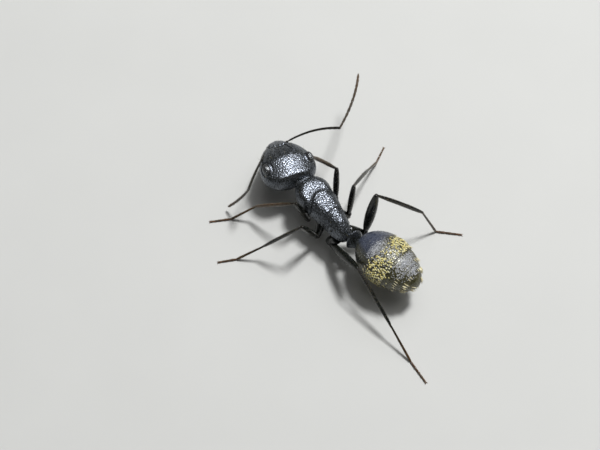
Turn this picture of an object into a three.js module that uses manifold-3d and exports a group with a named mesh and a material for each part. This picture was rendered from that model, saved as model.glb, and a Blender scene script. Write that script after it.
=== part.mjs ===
// Carpenter ant worker, standing alert. Millimetres, +Z up, floor at z = 0.
// The ant faces -Y, so its left side is +X. A heading turns from straight ahead
// towards the ant's left, and a pitch lifts above the level, both in degrees.
import * as THREE from 'three';
import { mergeVertices } from 'three/addons/utils/BufferGeometryUtils.js';
import Module from 'manifold-3d';

// ---- Driving dimensions ----
const JOINT_GAP = 0.07; // clear cut between neighbouring plates and limb pieces
const BLOCK = 40; // side of the blocks that trim pieces, larger than the ant

const TRUNK = {
  length: 4.45, neck: [0, -2.2, 2.1], waistHalfWidth: 0.69, shoulderHalfWidth: 1.12, shoulderAt: 0.21,
  backHeight: 0.85, bellyDepth: 0.78, rearDrop: 0.28,
  roll: -12, // degrees round its length, back towards the ant's right
};
const PRONOTUM_REAR = -0.78; // where the mesonotum's curved front edge crosses the middle line
const SADDLE_RADIUS = 0.96; // curve of that edge
const PROPODEUM_FRONT = 0.75;

const HEAD = {
  length: 3.15, halfWidth: 1.71, taper: 0.8, crown: 1.03, chin: 0.95,
  centre: [0.24, -3.35, 2.07], heading: -12, pitch: -14,
  roll: 6, // degrees round its length, crown towards the ant's right
};
const MANDIBLE = { length: 1.05, halfWidth: 0.46, halfDepth: 0.3, spread: 0.45, turn: -42 };
const EYE = { forward: -0.38, side: 1.25, up: 0.5, halfLength: 0.36, halfHeight: 0.28, halfWidth: 0.27 };
const SOCKET = { forward: 1.15, side: 0.5, up: 0.6 };
const SCAPE_LENGTH = 3.3;
const ANTENNA = { halfThickness: 0.25, sides: 6, steps: 8 };

const PETIOLE = {
  height: 1.3, halfWidth: 0.56, halfLength: 0.26, foot: [-0.2, 2.56, 1.25], stalkRadius: 0.3,
};
const GASTER = {
  length: 4.1, halfWidth: 1.43, back: 1.25, belly: 1.2, front: [-0.45, 2.71, 2.15], heading: 194, pitch: -4,
};
const GASTER_CUTS = [0.34, 0.6, 0.79, 0.91]; // ring cuts, as parts of the gaster's length

// Left hip of each pair of legs, the lengths of its limb pieces, and the half thickness of its thigh.
const LEG_SIZES = {
  front: {
    hip: [0.42, -1.1, 1.6], coxa: 1.11, femur: 2.34, tibia: 3.0, basitarsus: 1.75, toes: 1.16, thigh: 0.28,
  },
  middle: {
    hip: [0.42, 0.45, 1.55], coxa: 0.92, femur: 2.59, tibia: 2.98, basitarsus: 1.83, toes: 1.0, thigh: 0.28,
  },
  hind: {
    hip: [0.38, 1.75, 1.6], coxa: 0.97, femur: 3.39, tibia: 3.45, basitarsus: 2.25, toes: 1.4, thigh: 0.33,
  },
};
const COXA_RADIUS = 0.4;
const SHIN_RADIUS = 0.27;
const TARSUS_RADIUS = 0.25;
const FOOT_CENTRE = 0.2; // height of a foot's middle line, so its underside is cut to a flat

const SIDES = { right: -1, left: 1 };

// Heading and pitch of each limb piece. A tarsus has a heading only, as it comes down to the floor.
const LEG_POSES = {
  front: {
    right: { coxa: [-145, -26], femur: [-37.5, 67], tibia: [1, -42.4], tarsus: 60 },
    left: { coxa: [152, -39], femur: [65, 73], tibia: [36, -39], tarsus: 63 },
  },
  middle: {
    right: { coxa: [-120, -36], femur: [-57, 75], tibia: [-59, -43], tarsus: -60 },
    left: { coxa: [120, -40], femur: [88, 67], tibia: [59, -46], tarsus: 65 },
  },
  hind: {
    right: { coxa: [-125, -21], femur: [-71, 75], tibia: [-124, -41], tarsus: -133 },
    left: { coxa: [33, -58], femur: [177, 32], tibia: [178, -24], tarsus: 178 },
  },
};
// Heading and pitch of each scape, how far it bows forwards, and each half of the funiculus:
// its heading, its pitch and its length.
const ANTENNA_POSES = {
  right: { scape: [-125, 26], bow: 0.5, funiculus: [[-61, -8, 2.2], [-40, -12, 1.96]] },
  left: { scape: [125, 11.4], bow: 0.14, funiculus: [[35, -73, 1.56], [46, -57, 1.5]] },
};

const LOOKS = {
  shell: { color: 0x1d1f22, roughness: 0.45, metalness: 0 },
  face: { color: 0x16181b, roughness: 0.4, metalness: 0 },
  eye: { color: 0x0b0b0d, roughness: 0.25, metalness: 0 },
  jaw: { color: 0x2a140c, roughness: 0.35, metalness: 0 },
  limb: { color: 0x17150f, roughness: 0.5, metalness: 0 },
  foot: { color: 0x4a2c18, roughness: 0.55, metalness: 0 },
  gaster: { color: 0x3a3820, roughness: 0.55, metalness: 0 },
};

const wasm = await Module();
wasm.setup();
const ant = new THREE.Group();

// ---- Shape tools ----

// Unit vector of a heading and a pitch.
function pointing([heading, pitch]) {
  const h = THREE.MathUtils.degToRad(heading);
  const p = THREE.MathUtils.degToRad(pitch);
  return new THREE.Vector3(Math.sin(h) * Math.cos(p), -Math.cos(h) * Math.cos(p), Math.sin(p));
}

// Placement whose +Y runs along `direction`, with +Z as near to upright as it can be.
function placement(origin, direction) {
  const along = direction.clone().normalize();
  const upright = Math.abs(along.z) > 0.98 ? new THREE.Vector3(0, 1, 0) : new THREE.Vector3(0, 0, 1);
  const side = new THREE.Vector3().crossVectors(along, upright).normalize();
  const top = new THREE.Vector3().crossVectors(side, along);
  return new THREE.Matrix4().makeBasis(side, along, top).setPosition(origin);
}

// Solid from a geometry: seam corners are merged and collapsed triangles dropped.
function solidOf(geometry) {
  geometry.deleteAttribute('normal');
  geometry.deleteAttribute('uv');
  const merged = mergeVertices(geometry, 1e-5);
  const corners = merged.index.array;
  const kept = [];
  for (let i = 0; i < corners.length; i += 3) {
    const [a, b, c] = corners.slice(i, i + 3);
    if (a !== b && b !== c && c !== a) {
      kept.push(a, b, c);
    }
  }
  const vertProperties = new Float32Array(merged.attributes.position.array);
  return new wasm.Manifold(new wasm.Mesh({ numProp: 3, vertProperties, triVerts: new Uint32Array(kept) }));
}

// Rounded body along +Y. At each part t of the length, section(t) gives its half width, its height
// above and depth below the middle line, and that line's rise. `grow` swells it all round.
function loft({ length, rings, sides, section, place, squareness = 2 }, grow = 0) {
  const profile = [];
  for (let i = 0; i <= rings; i += 1) {
    const t = (1 - Math.cos((Math.PI * i) / rings)) / 2;
    profile.push(new THREE.Vector2(i === 0 || i === rings ? 0 : 1, t));
  }
  const geometry = new THREE.LatheGeometry(profile, sides);
  const spots = geometry.attributes.position;
  for (let i = 0; i < spots.count; i += 1) {
    const t = spots.getY(i);
    const shape = section(t);
    const round = (value) => Math.sign(value) * Math.abs(value) ** (2 / squareness);
    const across = round(spots.getX(i));
    const height = round(spots.getZ(i));
    const reach = height > 0 ? shape.above : shape.below;
    spots.setXYZ(
      i,
      across * (shape.halfWidth + grow),
      t * (length + 2 * grow) - grow,
      (shape.rise ?? 0) + height * (reach + grow),
    );
  }
  geometry.applyMatrix4(place);
  return solidOf(geometry);
}

// Full in the middle and rounded off at both ends; a higher power is blunter.
function bluntEnds(t, power) {
  return (1 - Math.abs(2 * t - 1) ** power) ** (1 / power);
}

// Smooth hump of height 1 at `centre`.
function hump(t, centre, spread) {
  return Math.exp(-(((t - centre) / spread) ** 2));
}

// Block that takes away everything beyond a plane, from half a joint gap before it.
function beyond(point, normal, gap = JOINT_GAP) {
  const geometry = new THREE.BoxGeometry(BLOCK, BLOCK, BLOCK);
  geometry.translate(0, BLOCK / 2 - gap / 2, 0);
  geometry.applyMatrix4(placement(point, normal));
  return solidOf(geometry);
}

function addPiece(name, solid, look) {
  const { vertProperties, triVerts } = solid.getMesh();
  const geometry = new THREE.BufferGeometry();
  geometry.setAttribute('position', new THREE.BufferAttribute(new Float32Array(vertProperties), 3));
  geometry.setIndex(new THREE.BufferAttribute(new Uint32Array(triVerts), 1));
  geometry.computeVertexNormals();
  const mesh = new THREE.Mesh(geometry, new THREE.MeshStandardMaterial(look));
  mesh.name = name;
  ant.add(mesh);
}

// ---- Trunk: pronotum, mesothorax and propodeum, one arched body parted by thin cuts ----

const trunkRoll = new THREE.Matrix4().makeRotationY(THREE.MathUtils.degToRad(TRUNK.roll));

const trunk = {
  length: TRUNK.length,
  rings: 16,
  sides: 24,
  place: placement(new THREE.Vector3(...TRUNK.neck), new THREE.Vector3(0, 1, 0)).multiply(trunkRoll),
  section(t) {
    const ends = bluntEnds(t, 2.6);
    const shoulders = hump(t, TRUNK.shoulderAt, 0.2) * (TRUNK.shoulderHalfWidth - TRUNK.waistHalfWidth);
    const middle = 0.16 * hump(t, 0.5, 0.13);
    return {
      halfWidth: ends * (TRUNK.waistHalfWidth + shoulders + middle),
      above: ends * (TRUNK.backHeight - 0.1 * hump(t, 0.62, 0.06) - 0.2 * hump(t, 0.04, 0.1)),
      below: ends * (TRUNK.bellyDepth - 0.1 * hump(t, 0.1, 0.15)),
      rise: -TRUNK.rearDrop * t ** 2.5,
    };
  },
};

function saddle(gap) {
  const geometry = new THREE.CylinderGeometry(SADDLE_RADIUS + gap, SADDLE_RADIUS + gap, 6, 32);
  geometry.rotateX(Math.PI / 2);
  geometry.translate(0, PRONOTUM_REAR + SADDLE_RADIUS, 0);
  geometry.applyMatrix4(trunkRoll);
  geometry.translate(0, 0, TRUNK.neck[2]);
  return solidOf(geometry);
}

function addTrunk() {
  const whole = loft(trunk);
  const waist = new THREE.Vector3(0, PROPODEUM_FRONT, TRUNK.neck[2]);
  const backwards = new THREE.Vector3(0, 1, 0.15).transformDirection(trunkRoll);
  const forwards = backwards.clone().negate();
  const front = whole.subtract(beyond(waist, backwards)).subtract(loft(head, JOINT_GAP));
  const sides = new THREE.Vector3(0, PRONOTUM_REAR + SADDLE_RADIUS, 0);
  addPiece('pronotum', front.subtract(saddle(JOINT_GAP)).subtract(beyond(sides, backwards)), LOOKS.shell);
  addPiece('mesothorax', front.intersect(saddle(0)), LOOKS.shell);
  addPiece('propodeum', whole.subtract(beyond(waist, forwards)), LOOKS.shell);
}

// ---- Head ----

const headAim = pointing([HEAD.heading, HEAD.pitch]);
const headCentre = new THREE.Vector3(...HEAD.centre);
const headRoll = new THREE.Matrix4().makeRotationY(THREE.MathUtils.degToRad(HEAD.roll));
const headRear = headCentre.clone().addScaledVector(headAim, -HEAD.length / 2);
const headPlace = placement(headRear, headAim).multiply(headRoll);

// Point of the head from its centre: forward, out to the ant's left, and up from the face.
function onHead(forward, left, up) {
  return new THREE.Vector3(-left, HEAD.length / 2 + forward, up).applyMatrix4(headPlace);
}

const head = {
  length: HEAD.length,
  rings: 14,
  sides: 24,
  squareness: 2.15,
  place: headPlace,
  section(t) {
    const ends = bluntEnds(t, 2.5);
    return {
      halfWidth: ends * (HEAD.halfWidth - HEAD.taper * t ** 2.2 - 0.05 * (1 - t)),
      above: ends * (HEAD.crown - 0.36 * t ** 2),
      below: ends * (HEAD.chin - 0.25 * t ** 2),
    };
  },
};

function addHead() {
  addPiece('head', loft(head), LOOKS.face);
  for (const [name, side] of Object.entries(SIDES)) {
    const eye = new THREE.SphereGeometry(1, 12, 8);
    eye.scale(EYE.halfWidth, EYE.halfLength, EYE.halfHeight);
    eye.translate(-side * EYE.side, HEAD.length / 2 + EYE.forward, EYE.up);
    eye.applyMatrix4(headPlace);
    addPiece(`eye_${name}`, solidOf(eye).subtract(loft(head, JOINT_GAP)), LOOKS.eye);
  }
}

function addMandibles() {
  for (const [name, side] of Object.entries(SIDES)) {
    const root = onHead(HEAD.length / 2 - 0.42, side * MANDIBLE.spread, -0.12);
    const aim = pointing([HEAD.heading - side * 22, HEAD.pitch + MANDIBLE.turn]);
    const jaw = loft({
      length: MANDIBLE.length,
      rings: 8,
      sides: 12,
      place: placement(root, aim),
      section: (t) => ({
        halfWidth: MANDIBLE.halfWidth * bluntEnds(t, 2.4) * (1 - 0.35 * t),
        above: MANDIBLE.halfDepth * bluntEnds(t, 2.4),
        below: MANDIBLE.halfDepth * bluntEnds(t, 2.4),
      }),
    });
    const middle = onHead(HEAD.length / 2, 0, 0);
    const inwards = onHead(HEAD.length / 2, -side, 0).sub(middle);
    const cut = jaw.subtract(loft(head, JOINT_GAP)).subtract(beyond(middle, inwards));
    addPiece(`mandible_${name}`, cut, LOOKS.jaw);
  }
}

// ---- Limbs: each piece runs a little past its joints and is mitred there ----

// Spindle between two points, thickest at `fullAt`, with rounded ends that pass both points.
function limbPiece(from, to, { radius, endRadius = radius * 0.75, fullAt = 0.4, rings = 7 }) {
  const along = to.clone().sub(from);
  const length = along.length() + 2 * endRadius;
  const start = from.clone().addScaledVector(along.clone().normalize(), -endRadius);
  const shape = (t) => bluntEnds(t, 3.4) * (endRadius + (radius - endRadius) * hump(t, fullAt, 0.3));
  return loft({
    length,
    rings,
    sides: 8,
    place: placement(start, along),
    section: (t) => ({ halfWidth: shape(t), above: shape(t), below: shape(t) }),
  });
}

// Direction of the flat cut where a piece arriving from `before` meets one going on to `after`.
function mitre(before, joint, after) {
  const arriving = joint.clone().sub(before).normalize();
  const leaving = after.clone().sub(joint).normalize();
  return arriving.add(leaving).normalize();
}

function legPoints(sizes, side, { coxa, femur, tibia, tarsus }) {
  const [out, back, up] = sizes.hip;
  const start = new THREE.Vector3(SIDES[side] * out, back, up);
  const coxaEnd = start.clone().addScaledVector(pointing(coxa), sizes.coxa);
  const knee = coxaEnd.clone().addScaledVector(pointing(femur), sizes.femur);
  const ankle = knee.clone().addScaledVector(pointing(tibia), sizes.tibia);
  const drop = THREE.MathUtils.radToDeg(Math.asin((ankle.z - FOOT_CENTRE) / sizes.basitarsus));
  const heel = ankle.clone().addScaledVector(pointing([tarsus, -drop]), sizes.basitarsus);
  const toe = heel.clone().addScaledVector(pointing([tarsus, 0]), sizes.toes);
  return { start, coxaEnd, knee, ankle, heel, toe };
}

function addLeg(pair, side) {
  const name = `${pair}_${side}`;
  const sizes = LEG_SIZES[pair];
  const { start, coxaEnd, knee, ankle, heel, toe } = legPoints(sizes, side, LEG_POSES[pair][side]);
  const hipCut = mitre(start, coxaEnd, knee);
  const kneeCut = mitre(coxaEnd, knee, ankle);
  const ankleCut = mitre(knee, ankle, heel);
  const floor = beyond(new THREE.Vector3(0, 0, 0), new THREE.Vector3(0, 0, -1), 0);

  const coxa = limbPiece(start, coxaEnd, { radius: COXA_RADIUS, endRadius: 0.25, fullAt: 0.4 });
  const femur = limbPiece(coxaEnd, knee, { radius: sizes.thigh, endRadius: 0.25, fullAt: 0.45, rings: 8 });
  const tibia = limbPiece(knee, ankle, { radius: SHIN_RADIUS, endRadius: 0.25, fullAt: 0.6 });
  const basitarsus = limbPiece(ankle, heel, { radius: TARSUS_RADIUS, endRadius: 0.24, rings: 5 });
  const toes = limbPiece(heel, toe, { radius: TARSUS_RADIUS, endRadius: 0.24, rings: 5 });

  addPiece(
    `coxa_${name}`,
    coxa.subtract(beyond(coxaEnd, hipCut)).subtract(loft(trunk, JOINT_GAP)),
    LOOKS.limb,
  );
  addPiece(
    `femur_${name}`,
    femur.subtract(beyond(coxaEnd, hipCut.negate())).subtract(beyond(knee, kneeCut)),
    LOOKS.limb,
  );
  addPiece(
    `tibia_${name}`,
    tibia.subtract(beyond(knee, kneeCut.negate())).subtract(beyond(ankle, ankleCut)),
    LOOKS.limb,
  );
  addPiece(
    `tarsus_${name}`,
    basitarsus.subtract(beyond(ankle, ankleCut.negate())).add(toes).subtract(floor),
    LOOKS.foot,
  );
}

// ---- Antennae ----

// Round tube along a curve that sets out towards `bend`.
function tube(from, bend, to) {
  const ring = new THREE.Shape();
  ring.absarc(0, 0, ANTENNA.halfThickness, 0, 2 * Math.PI);
  return solidOf(new THREE.ExtrudeGeometry(ring, {
    extrudePath: new THREE.QuadraticBezierCurve3(from, bend, to),
    steps: ANTENNA.steps,
    curveSegments: ANTENNA.sides,
    bevelEnabled: false,
  }));
}

function addAntenna(side) {
  const { scape, bow, funiculus } = ANTENNA_POSES[side];
  const [first, second] = funiculus;
  const socket = onHead(SOCKET.forward, SIDES[side] * SOCKET.side, SOCKET.up);
  const elbow = socket.clone().addScaledVector(pointing(scape), SCAPE_LENGTH);
  const forwards = pointing([scape[0] - SIDES[side] * 90, 0]);
  const arch = socket.clone().lerp(elbow, 0.5).addScaledVector(forwards, bow);
  const bend = elbow.clone().addScaledVector(pointing(first), first[2]);
  const tip = bend.clone().addScaledVector(pointing(second), second[2]);
  const cut = mitre(arch, elbow, bend);
  const pastElbow = elbow.clone().addScaledVector(elbow.clone().sub(arch).normalize(), 0.3);
  const beforeElbow = elbow.clone().addScaledVector(pointing(first), -0.2);

  const shaft = tube(socket, arch, pastElbow).subtract(beyond(elbow, cut)).subtract(loft(head, JOINT_GAP));
  const whip = tube(beforeElbow, bend, tip).subtract(beyond(elbow, cut.negate()));
  addPiece(`scape_${side}`, shaft, LOOKS.limb);
  addPiece(`funiculus_${side}`, whip, LOOKS.limb);
}

// ---- Petiole and gaster ----

const gaster = {
  length: GASTER.length,
  rings: 18,
  sides: 22,
  place: placement(new THREE.Vector3(...GASTER.front), pointing([GASTER.heading, GASTER.pitch])),
  section(t) {
    const egg = Math.sin(Math.PI * t ** 0.88) ** 0.52;
    return { halfWidth: GASTER.halfWidth * egg, above: GASTER.back * egg, below: GASTER.belly * egg };
  },
};

function addPetiole() {
  const scale = loft({
    length: PETIOLE.height,
    rings: 8,
    sides: 14,
    place: new THREE.Matrix4().makeRotationX(Math.PI / 2).setPosition(...PETIOLE.foot),
    section: (t) => ({
      halfWidth: PETIOLE.halfWidth * bluntEnds(t, 2.4),
      above: PETIOLE.halfLength * bluntEnds(t, 2.4) * (1.1 - 0.5 * t),
      below: PETIOLE.halfLength * bluntEnds(t, 2.4) * (1.1 - 0.5 * t),
    }),
  });
  const [x, y] = PETIOLE.foot;
  const front = new THREE.Vector3(x, y - 0.7, 1.85);
  const rear = new THREE.Vector3(x - 0.15, y + 0.6, 1.95);
  const stalk = limbPiece(front, rear, { radius: PETIOLE.stalkRadius, endRadius: 0.28 });
  const whole = scale.add(stalk).subtract(loft(trunk, JOINT_GAP)).subtract(loft(gaster, JOINT_GAP));
  addPiece('petiole', whole, LOOKS.shell);
}

function addGaster() {
  const aim = pointing([GASTER.heading, GASTER.pitch]);
  const cutPoint = (part) => new THREE.Vector3(...GASTER.front).addScaledVector(aim, part * GASTER.length);
  const ends = [0, ...GASTER_CUTS, 1];
  for (let i = 0; i < ends.length - 1; i += 1) {
    let ring = loft(gaster);
    if (i > 0) {
      ring = ring.subtract(beyond(cutPoint(ends[i]), aim.clone().negate()));
    }
    if (i < ends.length - 2) {
      ring = ring.subtract(beyond(cutPoint(ends[i + 1]), aim));
    }
    addPiece(`gaster_${i + 1}`, ring, LOOKS.gaster);
  }
}

addHead();
addMandibles();
addTrunk();
for (const side of Object.keys(SIDES)) {
  addAntenna(side);
  for (const pair of Object.keys(LEG_SIZES)) {
    addLeg(pair, side);
  }
}
addPetiole();
addGaster();

// The floor's middle point under the ant is the origin.
const middle = new THREE.Box3().setFromObject(ant).getCenter(new THREE.Vector3());
ant.position.set(-middle.x, -middle.y, 0);

export default ant;
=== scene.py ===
import bpy
import numpy as np
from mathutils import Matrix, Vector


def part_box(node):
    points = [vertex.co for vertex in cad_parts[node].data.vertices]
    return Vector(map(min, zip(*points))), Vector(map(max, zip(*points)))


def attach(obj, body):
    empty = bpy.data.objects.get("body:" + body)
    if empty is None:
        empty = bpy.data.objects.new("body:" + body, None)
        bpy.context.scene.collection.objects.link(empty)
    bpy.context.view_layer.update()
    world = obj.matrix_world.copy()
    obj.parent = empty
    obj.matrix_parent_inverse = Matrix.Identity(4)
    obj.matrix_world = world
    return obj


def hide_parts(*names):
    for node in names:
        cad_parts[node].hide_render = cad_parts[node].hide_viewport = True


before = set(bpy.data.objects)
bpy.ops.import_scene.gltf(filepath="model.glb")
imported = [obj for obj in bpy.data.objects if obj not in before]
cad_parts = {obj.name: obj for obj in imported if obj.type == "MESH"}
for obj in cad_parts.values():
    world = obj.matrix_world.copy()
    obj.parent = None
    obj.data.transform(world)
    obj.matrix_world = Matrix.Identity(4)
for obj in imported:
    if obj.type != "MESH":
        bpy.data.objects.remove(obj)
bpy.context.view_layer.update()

rng = np.random.default_rng(41)

# The ant is worked out in millimetres, head towards -y and its left side towards +x, and moved here to the
# frame: the waist scale is even about x = -0.2, and the trunk ends behind at y = 2.25.
waistLow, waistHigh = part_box("petiole")
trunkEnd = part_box("propodeum")[1]
antShift = np.array([(waistLow.x + waistHigh.x) * 500 + 0.2, trunkEnd.y * 1000 - 2.25, 0.0])
print("frame loaded")


def toMetres(points):
    return (np.asarray(points, float) + antShift) * 0.001


# Unit vector of a heading from straight ahead, towards the ant's left, and a pitch above level, in degrees:
# x = sin h cos p, y = -cos h cos p, z = sin p.
def pointing(heading, pitch):
    h, p = np.radians(heading), np.radians(pitch)
    return np.array([np.sin(h) * np.cos(p), -np.cos(h) * np.cos(p), np.sin(p)])


def unit(vectors):
    return vectors / np.maximum(np.linalg.norm(vectors, axis=-1, keepdims=True), 1e-12)


# Axes of a part laid along a direction, one per row: x across, y along it, z as near to upright as it can be.
def axesAlong(direction):
    along = unit(np.asarray(direction, float))
    upright = [0, 1, 0] if abs(along[2]) > 0.98 else [0, 0, 1]
    side = unit(np.cross(along, upright))
    return np.stack([side, along, np.cross(side, along)])


# The same axes turned round the direction by an angle in degrees, the top towards the x across.
def rolledAxes(direction, roll):
    across, along, top = axesAlong(direction)
    c, s = np.cos(np.radians(roll)), np.sin(np.radians(roll))
    return np.stack([across * c - top * s, along, top * c + across * s])


# Full in the middle and rounded off at both ends; a higher power is blunter.
def bluntEnds(t, power):
    return np.clip(1 - np.abs(2 * t - 1) ** power, 0, None) ** (1 / power)


# Smooth hump of height 1 at a centre.
def hump(t, centre, spread):
    return np.exp(-(((t - centre) / spread) ** 2))


# 0 before start, 1 after end, and a smooth step between.
def ease(x, start, end):
    u = np.clip((x - start) / (end - start), 0, 1)
    return u * u * (3 - 2 * u)


# 1 from start to end, with soft sides.
def between(x, start, end, soft):
    return ease(x, start - soft, start + soft) * (1 - ease(x, end - soft, end + soft))


# Parts of a length from 0 to 1, closer together at both ends: half of 1 - cos.
def crowdedParts(rows):
    return (1 - np.cos(np.pi * np.arange(rows + 1) / rows)) / 2


def anglesRound(cols):
    return 2 * np.pi * np.arange(cols) / cols


# Parts of the length and angles round the body, as a grid.
def gridOf(rows, cols):
    return np.meshgrid(crowdedParts(rows), anglesRound(cols), indexing="ij")


# Degrees of each angle from a place round the body, from -180 to 180.
def degreesFrom(phi, place):
    return np.degrees(np.angle(np.exp(1j * (phi - np.radians(place)))))


# Rounded body along y: x = across * halfWidth, z = rise + height * reach, where across and height go round a
# circle squared off by a power, and the section gives the half width, the reach above and below and the rise.
def loftRings(t, phi, length, section, squareness=2):
    halfWidth, above, below, rise = section(t)
    across = np.sign(np.cos(phi)) * np.abs(np.cos(phi)) ** (2 / squareness)
    height = np.sign(np.sin(phi)) * np.abs(np.sin(phi)) ** (2 / squareness)
    reach = np.where(height > 0, above, below)
    return np.stack([across * halfWidth, t * length + 0 * phi, rise + height * reach], -1)


# Outward normals of rings: the cross product of the steps round and along.
def normalsOf(rings):
    along = np.gradient(rings, axis=0)
    around = np.roll(rings, -1, axis=1) - np.roll(rings, 1, axis=1)
    normals = unit(np.cross(around, along))
    outwards = rings - rings.mean(axis=1, keepdims=True)
    return normals * np.sign(np.sum(normals[1:-1] * outwards[1:-1]) or 1)


# Rings moved out along their normals by an amount at each point.
def relief(rings, amount):
    return rings + normalsOf(rings) * amount[..., None]


# How far each point stands out over a plane at a height along its normal, with a soft start; taking it away
# presses the surface flat there.
def standsOver(points, normal, height, soft):
    over = points @ unit(np.array(normal, float)) - height
    return (over + np.sqrt(over**2 + soft**2)) / 2


# Pebbled surface: the mean of plane waves in many directions through the place, about `size` apart, which
# makes low round grains of about that size all over.
waveWays = unit(np.random.default_rng(7).normal(size=(18, 3)))
waveShifts = np.random.default_rng(8).uniform(0, 2 * np.pi, 18)


def pebbles(points, size, height):
    total = sum(np.sin(points @ way * (2 * np.pi / size) + shift) for way, shift in zip(waveWays, waveShifts))
    return height * total / 3


# Rings round a path: the path plus broad * wide * cos phi plus flat * thin * sin phi. The broad axis is
# square to the path and lies in its plane with the reference direction.
def pathRings(path, reference, wide, thin, cols):
    tangent = unit(np.gradient(path, axis=0))
    flat = unit(np.cross(tangent, reference))
    broad = np.cross(flat, tangent)
    phi = anglesRound(cols)[None, :, None]
    across = np.cos(phi) * (wide[:, None] * broad)[:, None, :]
    return path[:, None, :] + across + np.sin(phi) * (thin[:, None] * flat)[:, None, :]


# Curve of three points: start * (1 - t)^2 + bend * 2 t (1 - t) + end * t^2.
def bentPath(start, bend, end, t):
    t = t[:, None]
    return (1 - t) ** 2 * start + 2 * t * (1 - t) * bend + t**2 * end


# Six times the volume inside quads and triangles, positive where they face out.
def enclosed(points, quads, tris):
    corners = np.concatenate([tris, quads[:, [0, 1, 2]], quads[:, [0, 2, 3]]])
    a, b, c = (points[corners[:, i]] for i in range(3))
    return np.sum(a * np.cross(b, c))


# Closed skin over rings: quads between neighbouring rings, and a fan to one point at either end, where the
# first and last rings are drawn together.
def skinOver(rings, tint=None):
    rows, cols = rings.shape[0] - 2, rings.shape[1]
    points = np.concatenate([[rings[0].mean(0)], rings[1:-1].reshape(-1, 3), [rings[-1].mean(0)]])
    ring = 1 + np.arange(rows * cols).reshape(rows, cols)
    onwards = np.roll(ring, -1, axis=1)
    quads = np.stack([ring[:-1], onwards[:-1], onwards[1:], ring[1:]], -1).reshape(-1, 4)
    first = np.stack([np.zeros(cols, int), onwards[0], ring[0]], -1)
    last = np.stack([np.full(cols, len(points) - 1), ring[-1], onwards[-1]], -1)
    tris = np.concatenate([first, last])
    if enclosed(points - points.mean(0), quads, tris) < 0:
        quads, tris = quads[:, ::-1], tris[:, ::-1]
    shape = {"points": points, "quads": quads, "tris": tris}
    if tint is not None:
        shape["tint"] = np.concatenate([[tint[0].mean(0)], tint[1:-1].reshape(-1, 3), [tint[-1].mean(0)]])
    return shape


# Closed skin whose tint goes from one colour at its start to another at its end.
def tintedSkin(rings, first, last, start=0.0, end=1.0):
    fade = ease(np.linspace(0, 1, rings.shape[0]), start, end)[:, None, None]
    tint = np.array(limbTint[first]) * (1 - fade) + np.array(limbTint[last]) * fade
    return skinOver(rings, np.broadcast_to(tint, rings.shape))


# Rings closed with a disc at the start, the end or both: the edge ring, drawn in to its middle by steps.
def withDiscs(rings, atStart, atEnd, steps):
    steps = np.array(steps)[:, None, None]
    first, last = (edge.mean(axis=0) + (edge - edge.mean(axis=0)) * steps for edge in (rings[0], rings[-1]))
    return np.concatenate([first] * bool(atStart) + [rings] + [last[::-1]] * bool(atEnd))


# One mesh from closed shapes, in metres, with the tint as a colour attribute and the bake map where the
# shapes carry them; hair stays flat shaded, and the rest is smooth. It rides on the root body.
def makePiece(name, shapes, material, nodes=()):
    counts = np.cumsum([0] + [len(s["points"]) for s in shapes])
    points = toMetres(np.concatenate([s["points"] for s in shapes]))
    quads = np.concatenate([s["quads"] + c for s, c in zip(shapes, counts)])
    tris = np.concatenate([s["tris"] + c for s, c in zip(shapes, counts)])
    mesh = bpy.data.meshes.new(name)
    mesh.vertices.add(len(points))
    mesh.vertices.foreach_set("co", points.ravel())
    corners = np.concatenate([quads.ravel(), tris.ravel()])
    mesh.loops.add(len(corners))
    mesh.loops.foreach_set("vertex_index", corners)
    mesh.polygons.add(len(quads) + len(tris))
    starts = np.concatenate([4 * np.arange(len(quads)), 4 * len(quads) + 3 * np.arange(len(tris))])
    mesh.polygons.foreach_set("loop_start", starts)
    mesh.polygons.foreach_set("loop_total", np.repeat([4, 3], [len(quads), len(tris)]))
    mesh.update(calc_edges=True)
    if "spots" not in shapes[0]:
        mesh.shade_smooth()
    if "tint" in shapes[0]:
        tint = np.concatenate([s["tint"] for s in shapes])
        colours = mesh.color_attributes.new("tint", "FLOAT_COLOR", "POINT")
        colours.data.foreach_set("color", np.column_stack([tint, np.ones(len(tint))]).ravel())
    if "spots" in shapes[0]:
        spots = np.concatenate([s["spots"] for s in shapes])
        mesh.uv_layers.new(name="OFBake").data.foreach_set("uv", spots[corners].ravel())
    mesh.materials.append(material)
    piece = bpy.data.objects.new(name, mesh)
    bpy.context.scene.collection.objects.link(piece)
    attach(piece, "root")
    if nodes:
        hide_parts(*nodes)
    return piece


# An empty finish, with its shader and the place on the object that its patterns read.
def newFinish(name):
    material = bpy.data.materials.new(name)
    material.use_nodes = True
    tree = material.node_tree
    place = tree.nodes.new("ShaderNodeTexCoord").outputs["Object"]
    return material, tree, tree.nodes["Principled BSDF"], place


# Each socket of a node gets a plain value, a colour or the output of another node.
def setSockets(tree, node, sockets):
    for key, value in sockets.items():
        if isinstance(value, bpy.types.NodeSocket):
            tree.links.new(value, node.inputs[key])
        else:
            node.inputs[key].default_value = (*value, 1) if isinstance(value, tuple) else value


def newNode(tree, kind, sockets, **settings):
    node = tree.nodes.new("ShaderNode" + kind)
    for key, value in settings.items():
        setattr(node, key, value)
    setSockets(tree, node, sockets)
    return node


# Fractal noise whose lumps are about `size` millimetres across.
def grain(tree, place, size, detail=2):
    return newNode(tree, "TexNoise", {"Scale": 1000 / size, "Detail": detail, "Vector": place}).outputs["Fac"]


# Round pits about `size` millimetres across: the square of the distance to the nearest pit's middle.
def pits(tree, place, size):
    distance = newNode(tree, "TexVoronoi", {"Scale": 1000 / size, "Vector": place}).outputs["Distance"]
    return newNode(tree, "Math", {0: distance, 1: 2}, operation="POWER").outputs["Value"]


# A value between low and high, spread over newLow to newHigh.
def mapped(tree, value, low, high, newLow, newHigh):
    sockets = {"Value": value, "From Min": low, "From Max": high, "To Min": newLow, "To Max": newHigh}
    return newNode(tree, "MapRange", sockets).outputs["Result"]


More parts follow.
